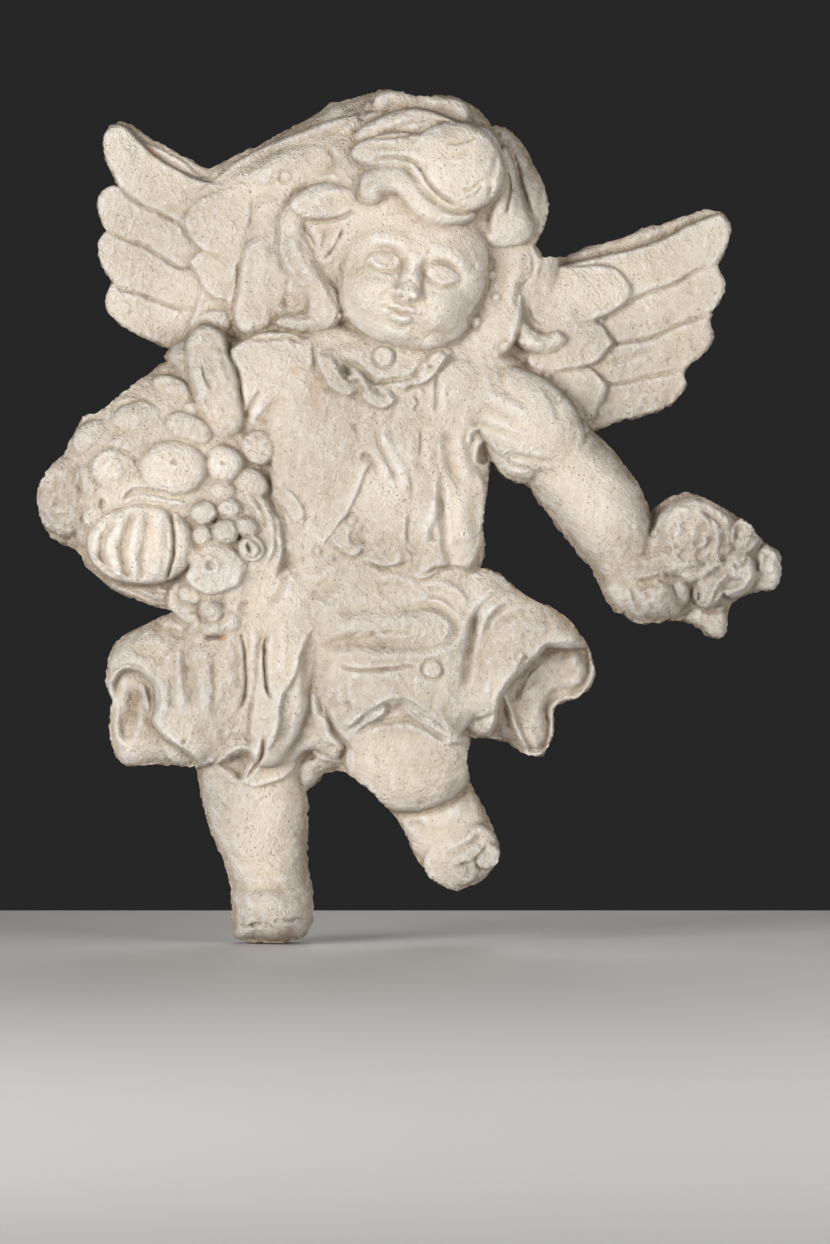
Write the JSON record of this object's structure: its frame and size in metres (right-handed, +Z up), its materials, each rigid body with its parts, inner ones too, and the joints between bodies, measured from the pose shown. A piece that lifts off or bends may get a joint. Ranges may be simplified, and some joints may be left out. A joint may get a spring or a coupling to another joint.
{
  "type": "angel wall plaque",
  "caption": "Flat-backed plaster relief of a winged cherub in a ruffled dress, with a basket of fruit on one arm and a posy of roses in the other hand, to hang on a wall.",
  "frame": {"origin": "on the flat back, behind the chest, on the upright line through the centre of mass", "axes": "+Z up, +Y out of the flat back towards the wall, the figure faces -Y, +X towards the posy"},
  "size_m": [0.3734, 0.066, 0.4283],
  "materials": {
    "plaster": "unpainted cast gypsum plaster, matte off-white, with brownish dirt in the hollows"
  },
  "bodies": {
    "root": {"angel": "plaster"}
  },
  "joints": []
}
